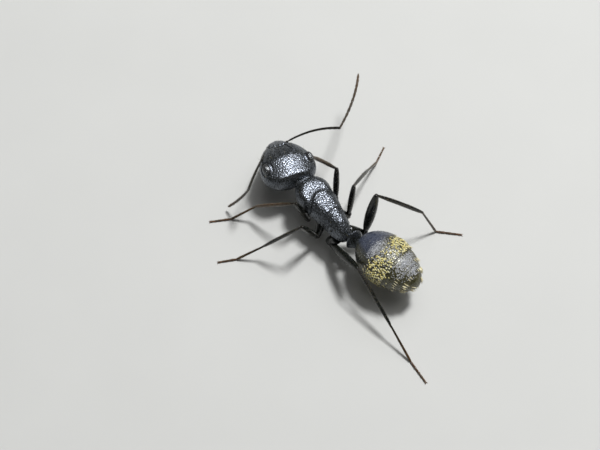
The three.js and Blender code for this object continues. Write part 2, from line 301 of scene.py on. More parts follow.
# Two colours mixed or multiplied by a factor.
def blended(tree, factor, first, second, how="MIX"):
    sockets = {"Factor": factor, "A": first, "B": second}
    return newNode(tree, "Mix", sockets, data_type="RGBA", blend_type=how).outputs["Result"]


# The piece's own colour at each point.
def tintOf(tree):
    return newNode(tree, "VertexColor", {}, layer_name="tint").outputs["Color"]


# Bumps one after another, each a value and its height in millimetres.
def bumps(tree, layers):
    sockets = {}
    for value, height in layers:
        bump = newNode(tree, "Bump", {"Distance": height * 0.001, "Height": value, **sockets})
        sockets = {"Normal": bump.outputs["Normal"]}
    return sockets


# Black shell cuticle: two close colours mottled, a net of fine pits and low lumps in the surface that break
# the shine into specks, and roughness that wanders.
def cuticle(name, look):
    material, tree, shader, place = newFinish(name)
    tinted = look.get("tinted")
    deep = tintOf(tree) if tinted else look["deep"]
    pale = blended(tree, 1.0, deep, look["pale"], "MULTIPLY") if tinted else look["pale"]
    mottle = mapped(tree, grain(tree, place, look["mottleSize"], 3), 0.35, 0.65, 0, 1)
    speck = grain(tree, place, look["speckSize"], 1)
    setSockets(tree, shader, {
        "Base Color": blended(tree, mottle, deep, pale),
        "Roughness": mapped(tree, speck, 0.42, 0.6, look["smoothest"], look["roughest"]),
        "IOR": look["ior"], "Specular Tint": look["shine"],
        **bumps(tree, (
            (grain(tree, place, look["lumpSize"], 2), look["lumpHeight"]),
            (pits(tree, place, look["pitSize"]), look["pitDepth"]),
        )),
    })
    return material


shellLook = {  # sizes and heights in millimetres
    "deep": (0.006, 0.0065, 0.005), "pale": (0.013, 0.014, 0.012), "mottleSize": 0.35,
    "speckSize": 0.09, "smoothest": 0.22, "roughest": 0.38,
    "lumpSize": 0.13, "lumpHeight": 0.009, "pitSize": 0.07, "pitDepth": 0.013,
    "ior": 2.2, "shine": (0.79, 0.865, 1.0),
}
headLook = {**shellLook, "smoothest": 0.2, "roughest": 0.34}
shellFinish = cuticle("blackShell", headLook)
trunkLook = {
    **shellLook, "lumpSize": 0.14, "lumpHeight": 0.023, "pitSize": 0.085, "pitDepth": 0.02, "ior": 2.14,
}
trunkFinish = cuticle("trunkShell", trunkLook)
tintedLook = {**shellLook, "pale": (1.5, 1.5, 1.45), "tinted": True}  # pale multiplies the piece's own tint
legLook = {
    **tintedLook, "mottleSize": 0.2, "smoothest": 0.12, "roughest": 0.36, "lumpHeight": 0.003,
    "pitDepth": 0.004, "ior": 1.5, "shine": (0.95, 0.97, 1.0),
}
legFinish = cuticle("legShell", legLook)
gasterLook = {
    **tintedLook, "mottleSize": 0.25, "smoothest": 0.24, "roughest": 0.42, "lumpHeight": 0.014, "ior": 2.05,
    "shine": (0.90, 0.90, 0.80),
}
gasterFinish = cuticle("gasterShell", gasterLook)
jawLook = {
    **shellLook, "deep": (0.014, 0.008, 0.005), "pale": (0.055, 0.019, 0.010), "mottleSize": 0.5,
    "smoothest": 0.22, "roughest": 0.4, "lumpHeight": 0.004, "pitDepth": 0.003, "ior": 1.6,
    "shine": (1.0, 0.95, 0.9),
}
jawFinish = cuticle("jawShell", jawLook)
eyeLook = {
    **shellLook, "deep": (0.008, 0.008, 0.009), "pale": (0.014, 0.013, 0.014), "mottleSize": 0.15,
    "smoothest": 0.16, "roughest": 0.24, "lumpHeight": 0.001, "pitDepth": 0.001, "shine": (0.92, 0.96, 1.0),
}
eyeFinish = cuticle("eyeLenses", eyeLook)


# Hair: the blade's own colour, a little darker in streaks, with a soft silky shine.
def hairFinish(name, roughness, shine, streaks):
    material, tree, shader, place = newFinish(name)
    streak = mapped(tree, grain(tree, place, 0.05, 1), 0.3, 0.7, 0.0, streaks)
    own = tintOf(tree)
    setSockets(tree, shader, {
        "Base Color": blended(tree, streak, own, blended(tree, 1.0, own, (0.5, 0.48, 0.45), "MULTIPLY")),
        "Roughness": mapped(tree, grain(tree, place, 0.2, 1), 0.3, 0.7, roughness - 0.06, roughness + 0.06),
        "IOR": 1.6, "Specular Tint": shine,
    })
    return material


goldFinish = hairFinish("goldHair", 0.4, (1.0, 0.95, 0.75), 0.15)
frostFinish = hairFinish("frostHair", 0.3, (0.9, 0.95, 1.0), 0.35)
print("finishes made")


# Roots over rings of points: faces drawn by area times density, each root at a random place in its face, with
# the surface's normal there, the way along the rings and the root's place on the unrolled surface.
def rootsOver(rings, density, count):
    onwards = np.roll(rings, -1, axis=1)
    a, b, c, d = rings[:-1], onwards[:-1], rings[1:], onwards[1:]
    faces = np.cross(b - c, d - a)
    share = np.linalg.norm(faces, axis=-1) * (density[:-1] + density[1:]) / 2
    pick = rng.choice(share.size, size=count, p=(share / share.sum()).ravel())
    row, col = np.unravel_index(pick, share.shape)
    u, v = rng.random((2, count, 1))
    root = (a[row, col] * (1 - u) + b[row, col] * u) * (1 - v) + (c[row, col] * (1 - u) + d[row, col] * u) * v
    normals = normalsOf(rings)[row, col]
    along = c[row, col] - a[row, col]
    along = unit(along - normals * np.sum(along * normals, -1, keepdims=True))
    spots = np.column_stack([(col + u[:, 0]) / rings.shape[1], (row + v[:, 0]) / (rings.shape[0] - 1)])
    return root, normals, along, spots


bakeMap = {"patch": 0.003, "filled": 0.99}  # a hair's patch and the part of the map's sides that roots fill


# Bent three-sided blades. Each has a root triangle sunk in the skin, a middle triangle halfway up, and a
# tip; it leaves the skin at its lift angle and leans over to a lower one. Its lie wanders from the way
# along the rings. `strip` says which of how many strips of the bake map, side by side, these rings have.
def bladesOn(rings, density, count, style, strip=(0, 1)):
    root, normal, along, spots = rootsOver(rings, density, count)
    count = len(root)
    turn = np.radians(rng.normal(0, style["wander"], count))[:, None]
    side = np.cross(normal, along)
    lie = along * np.cos(turn) + side * np.sin(turn)
    side = np.cross(normal, lie)
    lift = np.radians(rng.uniform(*style["lift"], count))[:, None]
    length = rng.uniform(*style["length"], count)[:, None]
    width = rng.uniform(*style["width"], count)[:, None]
    ridge = style["ridge"]
    start = lie * np.cos(lift) + normal * np.sin(lift)
    lower = lift * style["lean"]
    end = lie * np.cos(lower) + normal * np.sin(lower)
    middle = root + start * length * 0.5
    tip = middle + end * length * 0.5
    up = np.cross(start, side)
    up = up * np.sign(np.sum(up * normal, -1, keepdims=True))
    base = root - normal * style["sink"]
    corners = np.stack([
        base + side * width * 0.4, base - side * width * 0.4, base + up * width * ridge,
        middle + side * width * 0.5, middle - side * width * 0.5, middle + up * width * ridge, tip,
    ], 1)
    points = corners.reshape(-1, 3)
    first = 7 * np.arange(count)[:, None, None]
    quads = (first + np.array([[0, 1, 4, 3], [1, 2, 5, 4], [2, 0, 3, 5]])).reshape(-1, 4)
    tris = (first + np.array([[0, 2, 1], [3, 4, 6], [4, 5, 6], [5, 3, 6]])).reshape(-1, 3)
    one = points[:7]
    if enclosed(one - one.mean(0), quads[:3], tris[:4]) < 0:
        quads, tris = quads[:, ::-1], tris[:, ::-1]
    patch = bakeMap["patch"] * np.array([[0, 0], [0.5, 0], [1, 0], [0, 0.5], [0.5, 0.5], [1, 0.5], [0.5, 1]])
    spots = spots * bakeMap["filled"] * [1 / strip[1], 1] + [strip[0] / strip[1], 0]
    shade = rng.random((count, 1))
    colour = np.array(style["dull"]) * (1 - shade) + np.array(style["bright"]) * shade
    return {
        "points": points, "quads": quads, "tris": tris, "tint": np.repeat(colour, 7, axis=0),
        "spots": (spots[:, None] + patch * [1 / strip[1], 1]).reshape(-1, 2),
    }


goldPile = {  # dense gold hairs that lie flat on the second ring of the gaster
    "length": (0.12, 0.17), "width": (0.06, 0.085), "lift": (5, 22), "lean": 0.4, "wander": 22,
    "sink": 0.012, "ridge": 0.1, "dull": (0.90, 0.76, 0.22), "bright": (1.0, 0.98, 0.66),
}
# the pale hairs below stand where the shine falls on the gaster's back: their pale colour is a painted
# highlight over real pile
paintedSheenPile = {  # pale hairs that lie flat and shine along the back of the gaster
    "length": (0.07, 0.12), "width": (0.022, 0.034), "lift": (4, 10), "lean": 0.3, "wander": 20,
    "sink": 0.008, "ridge": 0.15, "dull": (0.44, 0.46, 0.51), "bright": (0.94, 0.96, 1.0),
}
frostPile = {  # fine short pale hairs that lie flat on the black shell
    "length": (0.06, 0.11), "width": (0.010, 0.016), "lift": (4, 12), "lean": 0.3, "wander": 26,
    "sink": 0.006, "ridge": 0.42, "dull": (0.03, 0.033, 0.038), "bright": (0.22, 0.24, 0.28),
}
goldBristle = {  # stiff pale gold bristles, side by side in a comb before the rear edge of each ring
    "length": (0.22, 0.34), "width": (0.024, 0.036), "lift": (12, 26), "lean": 0.6, "wander": 3,
    "sink": 0.012, "ridge": 0.42, "dull": (0.60, 0.50, 0.26), "bright": (1.0, 0.94, 0.66),
}
rearBristle = {  # broader and paler on the fourth ring
    **goldBristle, "width": (0.034, 0.05), "dull": (0.85, 0.75, 0.42), "bright": (1.0, 0.98, 0.78),
}
bodyBristle = {  # sparse upright bristles of head and trunk
    **goldBristle, "length": (0.16, 0.34), "width": (0.010, 0.016), "lift": (55, 85),
    "dull": (0.10, 0.09, 0.06), "bright": (0.30, 0.27, 0.18),
}
limbPile = {  # short brown-gold hairs of legs and feelers
    "length": (0.06, 0.12), "width": (0.006, 0.009), "lift": (14, 34), "lean": 0.5, "wander": 12,
    "sink": 0.006, "ridge": 0.42, "dull": (0.10, 0.075, 0.04), "bright": (0.30, 0.25, 0.15),
}

shellGrain = {"size": 0.13, "height": 0.0018}  # low grains of the black shell


# Low grains over rings of the shell.
def grainsOver(rings, look):
    return pebbles(rings, look["size"], look["height"])


head = {
    "length": 3.15, "halfWidth": 1.71, "taper": 0.8, "crown": 1.03, "chin": 0.95, "squareness": 2.15,
    "centre": (0.24, -3.35, 2.07), "heading": -12, "pitch": -14, "roll": 6, "flatAt": (-0.5, 0.86),
    "flatTilt": 16, "ridge": 0.05, "plate": 0.045, "pit": 0.11, "keel": 0.03, "line": 0.018, "lip": 0.02,
    "socket": 0.045, "rearDent": 0.07, "chinSeam": 0.03,
}
headAim = pointing(head["heading"], head["pitch"])
headAxes = rolledAxes(headAim, head["roll"])
headStart = np.array(head["centre"]) - headAim * head["length"] / 2


# Place on the head from its centre: forward, out to the ant's left, and up from the face.
def onHead(forward, left, up):
    return headStart + np.array([-left, head["length"] / 2 + forward, up]) @ headAxes


# Blunt at both ends, narrower towards the jaws, with the crown and the chin falling towards them.
def headSection(t):
    ends = bluntEnds(t, 2.5)
    halfWidth = ends * (head["halfWidth"] - head["taper"] * t**2.2 - 0.05 * (1 - t))
    return halfWidth, ends * (head["crown"] - 0.36 * t**2), ends * (head["chin"] - 0.25 * t**2), 0


# Relief of the head shell: the crown pressed flatter by a tilted plane, two ridges that run back from the
# feeler pits, the pits, a raised plate with a keel over the jaws, a fine middle line, a groove round each
# eye, a dented rear margin and a seam under the chin. Each is a hump across its own line, times where it
# starts and ends.
def headRelief(rings):
    side, forward, up = np.abs(rings[..., 0]), rings[..., 1] - head["length"] / 2, rings[..., 2]
    top = ease(up, 0.02, 0.3)
    ridgeAt = 0.3 + 0.26 * ease(0.95 - forward, 0, 0.8)
    ridge = head["ridge"] * hump(side, ridgeAt, 0.05) * between(forward, 0.1, 1.0, 0.1)
    pit = head["pit"] * hump(side, 0.47, 0.13) * hump(forward, 1.13, 0.18)
    plate = ease(forward, 0.72 + 0.4 * side, 0.78 + 0.4 * side) * (1 - ease(side, 0.56, 0.62))
    keel = head["keel"] * hump(side, 0, 0.06) * plate
    line = head["line"] * hump(side, 0, 0.022) * between(forward, -0.4, 0.7, 0.06)
    lip = head["lip"] * hump(forward, 1.44, 0.04) * (1 - ease(side, 0.55, 0.7))
    eyeGap = np.sqrt(((forward + 0.38) / 0.4) ** 2 + ((side - 1.27) / 0.34) ** 2 + ((up - 0.52) / 0.34) ** 2)
    socket = head["socket"] * hump(eyeGap, 1.02, 0.13)
    tilt = np.radians(head["flatTilt"])
    fromFlat = np.stack([side, forward - head["flatAt"][0], up - head["flatAt"][1] + 0.19 * side**2], -1)
    pressed = standsOver(fromFlat, (0, -np.sin(tilt), np.cos(tilt)), 0, 0.05)
    rear = head["rearDent"] * hump(side, 0, 0.75) * (1 - ease(forward, -1.57, -1.2))
    seam = head["chinSeam"] * hump(side, 0, 0.035) * ease(-up, 0.3, 0.6)
    raised = ridge - pit + head["plate"] * plate + keel - line + lip - pressed
    return top * raised - socket - rear - seam + grainsOver(rings, shellGrain)


t, phi = gridOf(230, 340)
headRings = loftRings(t, phi, head["length"], headSection, head["squareness"])
headRings = relief(headRings, headRelief(headRings))
headPlaced = headStart + headRings @ headAxes
makePiece("headShell", [skinOver(headPlaced)], shellFinish, ["head"])

eye = {
    "forward": -0.38, "side": 1.25, "up": 0.48, "halfLength": 0.36, "halfHeight": 0.28, "halfWidth": 0.24,
    "facet": 0.042, "facetHeight": 0.007, "filled": 0.985,
}


# Compound eye: an ellipsoid round an axis that points out of the head, raised in a honeycomb of lenses, which
# is the sum of three waves at 60 degrees over the distance from the axis.
def eyeRings(side):
    bend, phi = np.meshgrid(np.linspace(0, np.pi, 111), anglesRound(240), indexing="ij")
    outward = np.stack([np.sin(bend) * np.cos(phi), np.sin(bend) * np.sin(phi), np.cos(bend)], -1)
    axes = np.array([[0, 1, 0], [side * 0.5, 0, 0.866], [-side * 0.866, 0, 0.5]])
    sphere = outward @ axes
    across, along = eye["halfLength"] * bend * np.cos(phi), eye["halfLength"] * bend * np.sin(phi)
    waves = sum(np.cos(2 * np.pi / eye["facet"] * (across * np.cos(a) + along * np.sin(a)))
                for a in (0, np.pi / 3, 2 * np.pi / 3))
    raised = 1 + eye["facetHeight"] / eye["halfHeight"] * waves / 3 * (1 - ease(bend, 1.5, 1.8))
    sizes = np.array([eye["halfWidth"], eye["halfLength"], eye["halfHeight"]])
    middle = np.array([-side * eye["side"], head["length"] / 2 + eye["forward"], eye["up"]])
    return headStart + (middle + sphere * sizes * eye["filled"] * raised[..., None]) @ headAxes


sides = {"Right": -1, "Left": 1}
for sideName, side in sides.items():
    makePiece("eye" + sideName, [skinOver(eyeRings(side))], eyeFinish, ["eye_" + sideName.lower()])

jaw = {
    "length": 1.05, "halfWidth": 0.37, "halfDepth": 0.2, "spread": 0.45, "turn": -42, "inwards": 22,
    "notches": 9.5, "tooth": 0.09,
}
palpSizes = {  # spread, reach, drop and half thickness
    "outer": (0.26, 0.62, -0.34, 0.03), "inner": (0.12, 0.4, -0.28, 0.024),
}


# Jaw: a flattened blade that bends inwards, widest a third of the way along, with pointed teeth cut into the
# outer half of its inner edge.
def jawRings(side):
    t, phi = gridOf(110, 56)
    full = bluntEnds(t, 2.4)
    inner = side * np.cos(phi)
    saw = 1 - np.abs(2 * ((t * jaw["notches"]) % 1) - 1)
    teeth = jaw["tooth"] * saw * ease(t, 0.4, 0.55) * ease(inner, 0.75, 0.98) * full
    wide = jaw["halfWidth"] * full * (1.08 - 0.5 * t)
    x = side * (0.26 * t**2 - 0.05 + inner * wide + teeth)
    y = t * jaw["length"]
    deep = jaw["halfDepth"] * full * (1 - 0.45 * t)
    z = deep * np.sin(phi) * (1 - 0.55 * ease(inner, 0.2, 1)) - 0.08 * t**2
    root = onHead(head["length"] / 2 - 0.42, side * jaw["spread"], -0.12)
    aim = pointing(head["heading"] - side * jaw["inwards"], head["pitch"] + jaw["turn"])
    return root + np.stack([x, y, z], -1) @ axesAlong(aim)


# Round tube along a curve of three points, with the half thickness given along it.
def tubeRings(start, bend, end, thick, cols):
    path = bentPath(start, bend, end, np.linspace(0, 1, len(thick)))
    return pathRings(path, np.array([0.3, 0.2, 1.0]), thick, thick, cols)


# Thickness of a jointed feeler: waisted between its pieces, and closed at both ends.
def jointed(rows, joints, thick, waist):
    t = np.linspace(0, 1, rows)
    part = (t * joints) % 1
    gap = np.minimum(part, 1 - part)
    inner = (t > 0.5 / joints) & (t < 1 - 0.5 / joints)
    return thick * (1 - waist * np.exp(-((gap / 0.1) ** 2)) * inner) * bluntEnds(t, 12)


for sideName, side in sides.items():
    makePiece("jaw" + sideName, [skinOver(jawRings(side))], jawFinish,
              ["mandible_" + sideName.lower()])
palps = []
for side in (-1, 1):
    for spread, reach, drop, thick in palpSizes.values():
        first = onHead(0.95, side * spread, -0.62)
        turn = onHead(0.95 + reach * 0.5, side * (spread + 0.12), -0.78)
        last = onHead(0.95 + reach, side * (spread + 0.02), -0.62 + drop)
        palps.append(skinOver(tubeRings(first, turn, last, jointed(90, 5, thick, 0.3), 12)))
makePiece("mouthFeelers", palps, jawFinish)
print("head made")

feelers = {
    "socket": (1.15, 0.5, 0.6), "sunk": 0.14, "shaftLength": 3.3, "shaftThin": 0.055, "shaftThick": 0.08,
    "ball": 0.035, "neck": 0.018, "elbowPast": 0.04, "whipThick": 0.07, "waist": 0.32, "joints": 11,
    "Right": {"scape": (-125, 26), "bow": 0.5, "whip": ((-61, -8, 2.2), (-40, -12, 1.96))},
    "Left": {"scape": (125, 11.4), "bow": 0.14, "whip": ((35, -73, 1.56), (46, -57, 1.5))},
}
limbTint = {
    "shaft": (0.016, 0.015, 0.012), "whip": (0.03, 0.021, 0.014), "whipTip": (0.075, 0.045, 0.025),
    "black": (0.005, 0.006, 0.0045), "knee": (0.010, 0.009, 0.007), "brown": (0.06, 0.034, 0.014),
    "foot": (0.075, 0.035, 0.016), "claw": (0.12, 0.055, 0.024),
}
hairCounts = {  # hairs on each piece of a feeler or leg
    "shaft": 200, "whip": 500, "coxa": 60, "femur": 200, "tibia": 260, "foot": (90, 26, 26, 26, 26),
}
limbHair = []
for sideName, side in sides.items():
    pose = feelers[sideName]
    socket = onHead(feelers["socket"][0], side * feelers["socket"][1], feelers["socket"][2])
    aim = pointing(*pose["scape"])
    elbow = socket + aim * feelers["shaftLength"]
    forwards = pointing(pose["scape"][0] - side * 90, 0)
    arch = (socket + elbow) / 2 + forwards * pose["bow"]
    socket = socket - headAxes[2] * feelers["sunk"]
    first, second = pose["whip"]
    bend = elbow + pointing(*first[:2]) * first[2]
    tip = bend + pointing(*second[:2]) * (second[2] - 0.05)

    # shaft: a ball in the socket, a thin neck, then a bowed club that thickens to the elbow
    t = crowdedParts(120)
    thick = feelers["shaftThin"] + (feelers["shaftThick"] - feelers["shaftThin"]) * t
    thick = thick + feelers["ball"] * hump(t, 0.018, 0.014) - feelers["neck"] * hump(t, 0.05, 0.02)
    thick = thick * bluntEnds(t, 14)
    path = bentPath(socket, arch, elbow + unit(elbow - arch) * feelers["elbowPast"], t)
    shaft = pathRings(path, np.array([0.1, 0.1, 1.0]), thick, thick * 0.9, 24)
    makePiece("feelerShaft" + sideName, [tintedSkin(shaft, "shaft", "shaft")], legFinish,
              ["scape_" + sideName.lower()])

    # whip: eleven joints that thicken a little outwards, the last one narrowing to its tip
    thick = jointed(260, feelers["joints"], feelers["whipThick"], feelers["waist"])
    t = np.linspace(0, 1, 260)
    thick = thick * (0.82 + 0.18 * ease(t, 0, 0.3)) * (1 - 0.45 * ease(t, 0.93, 1.0))
    whip = tubeRings(elbow, bend, tip, thick, 20)
    makePiece("feelerWhip" + sideName, [tintedSkin(whip, "whip", "whipTip", 0.3)], legFinish,
              ["funiculus_" + sideName.lower()])
    limbHair += [(shaft, hairCounts["shaft"]), (whip, hairCounts["whip"])]
print("feelers made")

trunk = {
    "length": 4.45, "neck": (0, -2.2, 2.1), "waist": 0.69, "shoulder": 1.12, "shoulderAt": 0.21,
    "back": 0.85, "belly": 0.78, "rearDrop": 0.28, "saddle": 0.96, "saddleTop": -0.78, "rearFrom": 0.75,
    "roll": -12, "columns": 220,
}
plate = {  # depths and heights of relief on the trunk's plates, and the planes that press two of them flat
    "suture": 0.17, "rim": 0.04, "lip": 0.04, "lipEdge": 0.06, "collar": 0.035, "collarGroove": 0.03,
    "lowFlank": 0.04, "dome": 0.05, "flankGroove": 0.035, "slantGroove": 0.03, "hump": 0.09, "spiracle": 0.06,
    "spiracleRim": 0.03, "rearRidge": 0.03, "seam": 0.03, "tuck": 0.06, "disc": (0, 0.35, 0.7, 0.93),
    "frontPlane": ((0.106, 0.15, 0.98), -1.2, 0.6), "middlePlane": ((0.04, 0.1, 0.98), -0.3, 0.74),
}


# Widest at the shoulders, with a smaller swelling in the middle, a low saddle behind it, and dropping to
# the rear.
def trunkSection(t):
    ends = bluntEnds(t, 2.6)
    shoulders = hump(t, trunk["shoulderAt"], 0.2) * (trunk["shoulder"] - trunk["waist"])
    halfWidth = ends * (trunk["waist"] + shoulders + 0.16 * hump(t, 0.5, 0.13))
    above = ends * (trunk["back"] - 0.1 * hump(t, 0.62, 0.06) - 0.2 * hump(t, 0.04, 0.1))
    below = ends * (trunk["belly"] - 0.1 * hump(t, 0.1, 0.15))
    return halfWidth, above, below, -trunk["rearDrop"] * t**2.5


def trunkRings(t, phi):
    return np.array(trunk["neck"]) + loftRings(t, phi, trunk["length"], trunkSection)


# The trunk turned a little round its length, its back towards the ant's right: x = x cos a + z sin a and
# z = z cos a - x sin a.
def rolled(rings):
    angle = np.radians(trunk["roll"])
    x, z = rings[..., 0], rings[..., 2] - trunk["neck"][2]
    turnedX, turnedZ = x * np.cos(angle) + z * np.sin(angle), z * np.cos(angle) - x * np.sin(angle)
    return np.stack([turnedX, rings[..., 1], turnedZ + trunk["neck"][2]], -1)


# Part of the trunk's length where the surface meets an edge that says y for each x and z, by closing in on
# it.
def meeting(phi, edge):
    t = np.full_like(phi, 0.4)
    for _ in range(80):
        points = trunkRings(t, phi)
        wanted = (edge(points[..., 0], points[..., 2]) - trunk["neck"][1]) / trunk["length"]
        t = 0.5 * t + 0.5 * np.clip(wanted, 0.02, 0.98)
    return t


# The first plate's rear edge: an arc round the middle line.
def saddleEdge(x, z):
    return trunk["saddleTop"] + trunk["saddle"] - np.sqrt(np.clip(trunk["saddle"] ** 2 - x**2, 0, None))


# The third plate's front edge: a line that leans forwards going up.
def rearEdge(x, z):
    return trunk["rearFrom"] - 0.15 * (z - trunk["neck"][2])


# A plate of the trunk between two edges, closed by a disc where it isn't the trunk's own end. `shape` gives
# the relief from the distances to the two edges and the place.
def plateRings(front, rear, rows, shape):
    t = front[None] + crowdedParts(rows)[:, None] * (rear - front)[None]
    rings = trunkRings(t, anglesRound(trunk["columns"])[None] + 0 * t)
    fromFront = (t - front[None]) * trunk["length"]
    fromRear = (rear[None] - t) * trunk["length"]
    rings = relief(rings, shape(fromFront, fromRear, rings) + grainsOver(rings, shellGrain))
    return rolled(withDiscs(rings, front.max() > 0, rear.min() < 1, plate["disc"]))


# Distance out from the trunk's middle line, place along it and height over it.
def onTrunk(rings):
    return np.abs(rings[..., 0]), rings[..., 1], rings[..., 2] - trunk["neck"][2]


# What a plane presses off, from its normal, its place along the trunk and its height over the middle line.
def pressedOff(rings, normal, at, height):
    return standsOver(rings - [0, at, trunk["neck"][2]], normal, height, 0.12)


# A lip before the rear edge, a collar in front, lower flanks, and a flattened dome.
def pronotumShape(fromFront, fromRear, rings):
    _, y, z = onTrunk(rings)
    lip = plate["lip"] * hump(fromRear, 0.07, 0.045) - plate["lipEdge"] * hump(fromRear, 0, 0.025)
    collar = plate["collar"] * hump(y, -1.9, 0.07) - plate["collarGroove"] * hump(y, -1.76, 0.06)
    low = plate["lowFlank"] * ease(-z, 0.3, 0.42)
    dome = plate["dome"] * hump(fromRear, 0, 0.42) * ease(z, 0.1, 0.5)
    return lip + collar - low - dome - pressedOff(rings, *plate["frontPlane"])


# A deep seam in front, a shallow one behind, two grooves down each flank, a flattened top and a low hump.
def mesothoraxShape(fromFront, fromRear, rings):
    x, y, z = onTrunk(rings)
    under = plate["suture"] * hump(fromFront, 0, 0.1) + plate["rim"] * hump(fromRear, 0, 0.035)
    flank = plate["flankGroove"] * hump(z, 0.34 + 0.12 * y, 0.04) * ease(x, 0.35, 0.55)
    slant = plate["slantGroove"] * hump(z + 0.45 * (y - 0.1), -0.28, 0.035) * ease(x, 0.3, 0.5)
    top = ease(z, 0.1, 0.5)
    dome = top * plate["dome"] * hump(fromFront, 0, 0.3)
    pressed = pressedOff(rings, *plate["middlePlane"])
    return -under - flank - slant - dome - pressed + plate["hump"] * hump(y, 0.56, 0.27) * top


# A shallow seam in front, the rear of the low hump, a rimmed breathing hole on each flank, a ridge over the
# rear slope and a seam below.
def propodeumShape(fromFront, fromRear, rings):
    x, y, z = onTrunk(rings)
    under = plate["rim"] * hump(fromFront, 0, 0.035)
    hole = np.sqrt(((y - 1.42) / 0.14) ** 2 + ((z - 0.02) / 0.2) ** 2)
    spiracle = plate["spiracleRim"] * hump(hole, 1.0, 0.35) - plate["spiracle"] * hump(hole, 0, 0.5)
    edge = plate["rearRidge"] * hump(z - 0.9 * (1.95 - y), 0.1, 0.12) * ease(z, 0, 0.2)
    seam = plate["seam"] * hump(z, -0.36 + 0.1 * (y - 1.2), 0.035)
    flanks = (spiracle - seam) * ease(x, 0.25, 0.4)
    return -under + flanks + edge + plate["hump"] * hump(y, 0.56, 0.27) * ease(z, 0.1, 0.5)


roundTrunk = anglesRound(trunk["columns"])
saddleAt, rearAt = meeting(roundTrunk, saddleEdge), meeting(roundTrunk, rearEdge)
tuck = plate["tuck"] / trunk["length"]
pronotumRings = plateRings(0 * saddleAt, saddleAt + tuck / 2, 80, pronotumShape)
mesothoraxRings = plateRings(saddleAt - tuck, rearAt, 90, mesothoraxShape)
propodeumRings = plateRings(rearAt - tuck / 4, 0 * rearAt + 1, 80, propodeumShape)
plates = {"pronotum": pronotumRings, "mesothorax": mesothoraxRings, "propodeum": propodeumRings}
for node, rings in plates.items():
    makePiece(node + "Plate", [skinOver(rings)], trunkFinish, [node])

# neck: a short ringed tube from under the pronotum's front edge into the back of the head
neckThick = 0.3 * (1 + 0.06 * np.cos(np.linspace(0, 8 * np.pi, 60))) * bluntEnds(np.linspace(0, 1, 60), 12)
neckStart, neckEnd = np.array([0.02, -1.75, 2.25]), onHead(-1.3, 0, -0.15)
neckRings = tubeRings(neckStart, (neckStart + neckEnd) / 2, neckEnd, neckThick, 40)
makePiece("neck", [skinOver(neckRings)], shellFinish)

petiole = {
    "start": (-0.14, 1.78, 1.83), "length": 1.5, "way": (-0.1, 1, 0.06), "lean": 0.1, "stalk": 0.24,
    "scaleAt": 0.5, "scaleHeight": 0.62, "scaleWidth": 0.32,
}


# Waist joint: a low stalk from trunk to gaster that rises into one upright scale, rounded on top. The reach
# above is the stalk plus a steep hump, and the width grows near the scale in the same way.
def petioleSection(t):
    ends = bluntEnds(t, 6)
    scale = hump(t, petiole["scaleAt"], 0.13) ** 1.2
    above = ends * (petiole["stalk"] + petiole["scaleHeight"] * scale)
    halfWidth = ends * (petiole["stalk"] * 0.95 + petiole["scaleWidth"] * hump(t, petiole["scaleAt"], 0.16))
    below = ends * (petiole["stalk"] + 0.12 * hump(t, 0.4, 0.2))
    return halfWidth, above, below, 0


t, phi = gridOf(110, 120)
petioleRings = loftRings(t, phi, petiole["length"], petioleSection)
petioleRings[..., 1] -= petioleRings[..., 2] * petiole["lean"]
petiolePlaced = np.array(petiole["start"]) + petioleRings @ axesAlong(petiole["way"])
makePiece("petioleScale", [skinOver(petiolePlaced)], trunkFinish, ["petiole"])
print("trunk made")

gaster = {
    "length": 4.1, "halfWidth": 1.43, "back": 1.25, "belly": 1.2, "front": (-0.45, 2.71, 2.15),
    "heading": 194, "pitch": -4, "cuts": (0, 0.34, 0.6, 0.79, 0.91, 1), "overlap": 0.03, "step": 0.055,
    "slateSheenAt": 102, "lip": 0.045, "rim": 0.012, "foldAt": -0.3, "foldStep": 0.035, "foldRidge": 0.03,
}
gasterTint = {
    # slate: the first ring's dark colour, lightened and blued by a painted sheen over the back
    "slateSheen": (0.042, 0.05, 0.078), "olive": (0.030, 0.027, 0.006), "gold": (0.022, 0.018, 0.004),
    "edge": (0.05, 0.04, 0.018), "dark": (0.018, 0.018, 0.014),
}


# An egg: sin(pi t^0.88) to the power 0.52, with its own half width, back and belly.
def gasterSection(t):
    egg = np.clip(np.sin(np.pi * np.clip(t, 0, 1) ** 0.88), 0, None) ** 0.52
    return gaster["halfWidth"] * egg, gaster["back"] * egg, gaster["belly"] * egg, 0


# How much gold pile a place carries, from 0 to 1: two broad flanks on the second ring that fade out over the
# back and under the belly, a thin fringe before them and less on the third ring.
def goldShare(t, phi):
    fromTop = np.abs(degreesFrom(phi, 90))
    flank = ease(fromTop, 8, 30) * (1 - ease(fromTop, 100, 125)) * np.where(np.cos(phi) < 0, 1.5, 1.0)
    second = between(t, 0.35, 0.585, 0.02)
    fringe = between(t, 0.29, 0.345, 0.02)
    third = between(t, 0.6, 0.68, 0.03)
    return second * (0.22 + 0.78 * flank) + 0.14 * fringe * flank + 0.22 * third * flank


# How much pale pile a place carries, from 0 to 1. It is laid where the highlight falls on the back, as a
# painted
# highlight over real pile: most over the back of the third and fourth rings, some over the join of the first
# and second, and less on the second.
def paintedSheenShare(t, phi):
    fromTop = degreesFrom(phi, 90)
    behind = hump(fromTop, 12, 30) * between(t, 0.63, 0.87, 0.04)
    before = hump(fromTop, -12, 24) * between(t, 0.24, 0.4, 0.05)
    return behind + 0.8 * before + 0.4 * hump(fromTop, -6, 30) * between(t, 0.36, 0.6, 0.05)
